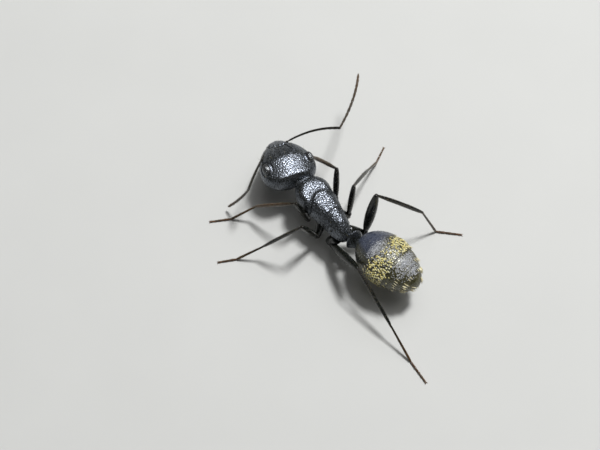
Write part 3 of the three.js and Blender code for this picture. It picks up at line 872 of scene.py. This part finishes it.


# Colour of the gaster's shell: a bluish slate over the back in front, which is the first ring's own dark
# colour with a painted sheen where the light falls on the back, olive behind and down the sides, gold ground
# where the pile is dense, a pale rim at the rear edge of each ring, and darker under the belly.
def gasterColour(t, phi, rearGap):
    fromSlateSheen = np.abs(degreesFrom(phi, gaster["slateSheenAt"]))
    colour = np.array(gasterTint["slateSheen"])
    for name, share in (
        ("olive", np.maximum(ease(t, 0.24, 0.36), 0.85 * ease(fromSlateSheen, 36, 66))),
        ("gold", 0.8 * np.minimum(goldShare(t, phi), 1)),
        ("edge", 0.8 * (1 - ease(rearGap, 0.03, 0.08))),
        ("dark", ease(-np.sin(phi), 0.2, 0.6)),
    ):
        share = share[..., None]
        colour = colour * (1 - share) + np.array(gasterTint[name]) * share
    return colour


gasterGrain = {"size": 0.14, "height": 0.002}
gasterAxes = axesAlong(pointing(gaster["heading"], gaster["pitch"]))
gasterFront = np.array(gaster["front"])
gasterBands = []
for index in range(5):
    start, stop = gaster["cuts"][index], gaster["cuts"][index + 1]
    first, last = index == 0, index == 4
    front = start if first else start - gaster["overlap"]
    t, phi = gridOf(90, 320)
    t = front + t * (stop - front)
    rings = loftRings(t, phi, gaster["length"], gasterSection)
    rearGap = (stop - t) * gaster["length"] + (9 if last else 0)
    frontGap = (t - front) * gaster["length"] + (9 if first else 0)
    ringWidth = (stop - start) * gaster["length"]
    sunk = gaster["step"] * (1 - ease(frontGap, 0.0, min(0.8 * ringWidth, 0.7)))
    lip = gaster["lip"] * hump(rearGap, 0, 0.022) - gaster["rim"] * hump(rearGap, 0.09, 0.05)
    overFold = rings[..., 2] - gaster["foldAt"] * gasterSection(t)[2]
    belly = gaster["foldStep"] * (1 - ease(overFold, -0.03, 0.03))
    belly = belly + gaster["foldRidge"] * hump(overFold, -0.02, 0.03)
    belly = belly * ease(t, 0.05, 0.2) * (1 - ease(t, 0.93, 0.98))
    rings = relief(rings, grainsOver(rings, gasterGrain) - sunk - lip - belly)
    colour = gasterColour(t, phi, rearGap)
    placed = gasterFront + rings @ gasterAxes
    gasterBands.append((placed, t, phi, rearGap))
    placed = withDiscs(placed, not first, not last, (0, 0.5, 0.93))
    colour = np.pad(colour, ((3 * (not first), 3 * (not last)), (0, 0), (0, 0)), "edge")
    makePiece(f"gasterRing{index + 1}", [skinOver(placed, colour)], gasterFinish,
              [f"gaster_{index + 1}"])
print("gaster made")

legs = {
    "front": {
        "hip": (0.42, -1.1, 1.6), "coxa": 1.11, "femur": 2.34, "tibia": 3.0, "basitarsus": 1.75,
        "toes": 1.16, "thigh": (0.18, 0.165), "shin": (0.12, 0.10),
        "Right": {"coxa": (-145, -26), "femur": (-37.5, 67), "tibia": (1, -42.4), "tarsus": 60},
        "Left": {"coxa": (152, -39), "femur": (65, 73), "tibia": (36, -39), "tarsus": 63},
    },
    "middle": {
        "hip": (0.42, 0.45, 1.55), "coxa": 0.92, "femur": 2.59, "tibia": 2.98, "basitarsus": 1.83,
        "toes": 1.0, "thigh": (0.18, 0.165), "shin": (0.12, 0.095),
        "Right": {"coxa": (-120, -36), "femur": (-57, 75), "tibia": (-59, -43), "tarsus": -60},
        "Left": {"coxa": (120, -40), "femur": (88, 67), "tibia": (59, -46), "tarsus": 65},
    },
    "hind": {
        "hip": (0.38, 1.75, 1.6), "coxa": 0.97, "femur": 3.39, "tibia": 3.45, "basitarsus": 2.25,
        "toes": 1.4, "thigh": (0.285, 0.24), "shin": (0.125, 0.10),
        "Right": {"coxa": (-125, -21), "femur": (-71, 75), "tibia": (-124, -41), "tarsus": -133},
        "Left": {"coxa": (33, -58), "femur": (177, 32), "tibia": (178, -24), "tarsus": 178},
    },
}
footCentre = 0.2  # height of the foot's middle line in the solids, where the shin's aim is settled
limb = {  # half thicknesses across the broad and the thin side of a piece, and some lengths and heights
    "coxa": (0.36, 0.33), "coxaFall": (0.2, 0.18), "trochanter": (0.135, 0.13), "swell": (0.03, 0.02),
    "thighRoot": (0.11, 0.10), "shinRoot": (0.075, 0.07), "shinEnd": (0.03, 0.02), "shinBow": -0.04,
    "foot": (0.07, 0.058, 0.055, 0.052, 0.05), "footRoot": (0.72, 0.78), "footSwell": 0.28,
    "footMarks": (0, 0.36, 0.62, 0.8, 1.0),
    "heelHeight": 0.076, "toeHeight": 0.054, "pad": (0.035, 0.022),
    "spur": {"front": 0.42, "middle": 0.3, "hind": 0.3}, "claw": 0.17, "clawSpread": 0.55,
}


# A limb piece from one joint to the next, passing both a little. A profile gives its half thickness for
# parts of the length and for each side's own numbers; its broad side lies in the plane of the knee and bows
# a little there.
def limbRings(start, stop, reference, profile, *numbers, rows=90, cols=36, bow=0.0, past=0.1):
    along = unit(stop - start)
    t = crowdedParts(rows)
    ends = bluntEnds(t, 7)
    path = (start - along * past) + t[:, None] * (stop - start + 2 * past * along)
    inPlane = unit(reference - along * np.dot(reference, along))
    path = path + (bow * np.sin(np.pi * t))[:, None] * inPlane
    wide, thin = (profile(t, *pair) * ends for pair in zip(*numbers))
    return pathRings(path, inPlane, wide, thin, cols)


# Half thicknesses along a piece: a cone that falls by t^1.5, a knot with a hump, a spindle of sin(pi t)^0.7,
# and a shin that thickens early and thins late.
def coxaProfile(t, root, fall):
    return root - fall * t**1.5


def trochanterProfile(t, root, swell):
    return root + swell * hump(t, 0.6, 0.2)


def femurProfile(t, root, full):
    return root + (full - root) * np.sin(np.pi * t) ** 0.7


def tibiaProfile(t, root, full, end):
    return root + (full - root) * ease(t, 0.0, 0.35) - end * ease(t, 0.75, 1.0)


# Claw or spur: a small cone along start + direction t + curl t^2.
def hookRings(start, direction, curl, length, thick):
    t = np.linspace(0, 1, 24)
    path = start + t[:, None] * direction * length + (t**2)[:, None] * curl * length
    thick = thick * (1 - t) ** 0.6 * bluntEnds(t, 8) + 1e-4 * (1 - t)
    return pathRings(path, np.cross(direction, curl) + 1e-3, thick, thick, 10)


for pair, sizes in legs.items():
    for sideName, side in sides.items():
        pose = sizes[sideName]
        node = pair + "_" + sideName.lower()
        paleShin = "brown" if pair == "front" else "black"
        hip = np.array(sizes["hip"]) * [side, 1, 1]
        hipEnd = hip + pointing(*pose["coxa"]) * sizes["coxa"]
        knee = hipEnd + pointing(*pose["femur"]) * sizes["femur"]
        ankle = knee + pointing(*pose["tibia"]) * sizes["tibia"]
        drop = np.degrees(np.arcsin((ankle[2] - footCentre) / sizes["basitarsus"]))
        heel = ankle + pointing(pose["tarsus"], -drop) * sizes["basitarsus"]
        footWay = pointing(pose["tarsus"], 0)
        toe = heel + footWay * (sizes["toes"] - 0.02)
        heel[2], toe[2] = limb["heelHeight"], limb["toeHeight"]
        thighWay, shinWay = unit(knee - hipEnd), unit(ankle - knee)

        # coxa: a stout cone, and the small trochanter at its end
        coxa = limbRings(hip, hipEnd, thighWay, coxaProfile, limb["coxa"], limb["coxaFall"], past=0.06)
        kneeAxis = np.cross(thighWay, shinWay)
        trochanter = limbRings(hipEnd, hipEnd + thighWay * 0.3, kneeAxis, trochanterProfile,
                               limb["trochanter"], limb["swell"], rows=40)
        coxaSkins = [tintedSkin(coxa, "black", "knee", 0.7), tintedSkin(trochanter, "knee", "black")]

        # femur: a flattened spindle, thin at both ends
        femur = limbRings(hipEnd + thighWay * 0.22, knee, shinWay, femurProfile,
                          limb["thighRoot"], sizes["thigh"], rows=120, cols=44, past=0.06)
        femurSkins = [tintedSkin(femur, "black", "knee", 0.85)]

        # tibia: bowed a little, thickening early, with its spur at the end
        tibia = limbRings(knee, ankle, -thighWay, tibiaProfile,
                          limb["shinRoot"], sizes["shin"], limb["shinEnd"],
                          rows=120, bow=limb["shinBow"], past=0.05)
        spurStart = ankle - shinWay * 0.08 + unit(np.cross(shinWay, thighWay)) * 0.06
        spurWay = unit(shinWay + unit(heel - ankle) * 0.6)
        spur = hookRings(spurStart, spurWay, -thighWay * 0.12, limb["spur"][pair], 0.022)
        tibiaSkins = [tintedSkin(tibia, "knee", paleShin, 0.1, 0.6), tintedSkin(spur, "foot", "claw")]

        # foot: five pieces, each wider at its far end, two claws and a pad
        marks = heel + (toe - heel) * np.array(limb["footMarks"])[:, None]
        stops = [ankle, *marks]
        shades = (paleShin, "brown", "foot", "foot", "foot", "claw")
        footSkins = []
        for number, thick in enumerate(limb["foot"]):
            part = limbRings(stops[number], stops[number + 1], np.array([0.02, 0.03, 1.0]),
                             lambda t, root: thick * (root + limb["footSwell"] * t), limb["footRoot"],
                             rows=40, cols=20, past=0.02)
            shade = shades[number + 1]
            footSkins.append(tintedSkin(part, shades[0] if number == 0 else shade, shade))
            limbHair.append((part, hairCounts["foot"][number]))
        across = np.cross(footWay, [0, 0, 1])
        for way in (-1, 1):
            clawWay = unit(footWay + across * way * limb["clawSpread"])
            claw = hookRings(toe, clawWay, np.array([0, 0, -0.28]), limb["claw"], 0.02)
            footSkins.append(tintedSkin(claw, "foot", "claw"))
        pad = limbRings(toe, toe + footWay * 0.08, across, lambda t, size: size + 0 * t, limb["pad"],
                        rows=16, cols=16, past=0.02)
        footSkins.append(tintedSkin(pad, "claw", "claw"))

        for name, skins, slotName, nodeStart in (
            ("coxa", coxaSkins, "leg", "coxa_"), ("femur", femurSkins, "leg", "femur_"),
            ("tibia", tibiaSkins, "leg", "tibia_"), ("foot", footSkins, "foot", "tarsus_"),
        ):
            makePiece(name + pair.capitalize() + sideName, skins, legFinish, [nodeStart + node])
        limbHair += [(rings, hairCounts[name]) for name, rings in
                     (("coxa", coxa), ("femur", femur), ("tibia", tibia))]
print("legs made")

coatCounts = {  # hairs on the head, on each plate of the trunk and on each ring of the gaster
    "headFrost": [3000], "headBristles": [30], "trunkFrost": [1000] * 3, "trunkBristles": [12] * 3,
    # the pale pile's counts below paint the highlight on the gaster's back
    "Gold": (16, 780, 20, 0, 0), "PaintedSheen": (360, 300, 780, 330, 0), "Frost": (1200, 200, 150, 90, 50),
    "Bristles": (12, 40, 44, 170, 36), "combTeeth": (27, 27, 22, 16, 9), "combAt": 0.2, "lastCombAt": 0.955,
}


# One piece of blades over several sets of rings, with a density for each set and its own strip of the bake
# map.
def coatPiece(name, parts, density, counts, style, finish):
    shapes = [bladesOn(rings, density(rings), count, style, (index, len(parts)))
              for index, (rings, count) in enumerate(zip(parts, counts))]
    makePiece(name, shapes, finish)


def evenly(rings):
    return np.ones(rings.shape[:2])


# Denser where the surface faces up.
def onTop(low, high):
    return lambda rings: ease(normalsOf(rings)[..., 2], low, high)


limbParts, limbCounts = zip(*limbHair)
trunkParts = (pronotumRings[:-4], mesothoraxRings[4:-4], propodeumRings[4:])
coatPiece("limbHair", limbParts, lambda rings: ease(rings[..., 2], 0.09, 0.3), limbCounts, limbPile,
          frostFinish)
coatPiece("headFrost", [headPlaced], evenly, coatCounts["headFrost"], frostPile, frostFinish)
coatPiece("trunkFrost", trunkParts, evenly, coatCounts["trunkFrost"], frostPile, frostFinish)

# gaster: flat gold and frost, pale pile that paints the highlight along the back, and a comb of bristles down
# the sides before each rear edge
gasterCoats = {"Gold": [], "PaintedSheen": [], "Frost": [], "Bristles": []}
for index, (rings, t, phi, rearGap) in enumerate(gasterBands):
    teeth = np.cos(phi * coatCounts["combTeeth"][index]) ** 24
    row = hump(rearGap, coatCounts["combAt"], 0.03) if index < 4 else hump(t, coatCounts["lastCombAt"], 0.006)
    comb = row * teeth * (0.04 + ease(np.abs(degreesFrom(phi, 90)), 28, 46))
    for name, density, style in (
        ("Gold", goldShare(t, phi) * ease(rearGap, 0.0, 0.06) + 1e-6, goldPile),
        ("Frost", 1 + 0 * t, frostPile),
        # pale pile laid where the highlight falls on the back: painted highlight
        ("PaintedSheen", paintedSheenShare(t, phi) + 1e-6, paintedSheenPile),
        ("Bristles", comb + 1e-6, rearBristle if index == 3 else goldBristle),
    ):
        count = coatCounts[name][index]
        if count:
            gasterCoats[name].append(bladesOn(rings, density, count, style, (index, 5)))
for name, shapes in gasterCoats.items():
    finish = frostFinish if name in ("PaintedSheen", "Frost") else goldFinish
    makePiece("gaster" + name, shapes, finish)

coatPiece("headBristles", [headPlaced], onTop(0.1, 0.5), coatCounts["headBristles"], bodyBristle,
          goldFinish)
coatPiece("trunkBristles", trunkParts, onTop(0.3, 0.7), coatCounts["trunkBristles"], bodyBristle,
          goldFinish)
print("coats made")

studio = {
    "floorHalf": 0.45, "floorColour": (0.58, 0.585, 0.57), "floorMottle": 1.06,
    "skyColour": (1.0, 0.995, 0.98), "sky": 0.07,
    "lamps": {
        "panel": {"way": (-0.40, -0.12, 0.9), "distance": 0.13, "size": 0.13, "power": 0.06},
        "key": {"way": (-0.40, -0.08, 0.9), "distance": 0.30, "size": 0.05, "power": 0.85},
    },
    "target": (1.469, -0.21, 1.184), "azimuth": 144.7, "elevation": 65, "distance": 0.09, "lens": 98.2,
}
reach = studio["floorHalf"]
corners = [(-reach, -reach, 0), (reach, -reach, 0), (reach, reach, 0), (-reach, reach, 0)]
floorMesh = bpy.data.meshes.new("floor")
floorMesh.from_pydata(corners, [], [(0, 1, 2, 3)])
floor = bpy.data.objects.new("floor", floorMesh)
bpy.context.scene.collection.objects.link(floor)
floorFinish, tree, shader, place = newFinish("paleFloor")
paler = tuple(c * studio["floorMottle"] for c in studio["floorColour"])
shade = blended(tree, grain(tree, place, 6, 3), studio["floorColour"], paler)
setSockets(tree, shader, {"Base Color": shade, "Roughness": 0.85})
floorMesh.materials.append(floorFinish)

world = bpy.data.worlds.new("studioSky")
bpy.context.scene.world = world
world.use_nodes = True
sky = {"Color": studio["skyColour"], "Strength": studio["sky"]}
setSockets(world.node_tree, world.node_tree.nodes["Background"], sky)


# A lamp or the camera, at a distance from the ant in a direction, looking back at it.
def lookingIn(name, data, way, distance):
    thing = bpy.data.objects.new(name, data)
    thing.location = toMetres(studio["target"]) + way * distance
    thing.rotation_mode = "QUATERNION"
    thing.rotation_quaternion = Vector(-way).to_track_quat("-Z", "Y")
    bpy.context.scene.collection.objects.link(thing)
    return thing


for lampName, lamp in studio["lamps"].items():
    light = bpy.data.lights.new(lampName, "AREA")
    light.shape, light.size, light.energy = "SQUARE", lamp["size"], lamp["power"]
    lookingIn(lampName, light, unit(np.array(lamp["way"])), lamp["distance"])

lens = bpy.data.cameras.new("camera")
lens.lens, lens.sensor_width, lens.clip_start, lens.clip_end = studio["lens"], 36, 0.001, 10
camera = lookingIn("camera", lens, pointing(studio["azimuth"], studio["elevation"]), studio["distance"])
bpy.context.scene.camera = camera
bpy.context.scene.view_settings.view_transform = "Standard"
print("scene set")
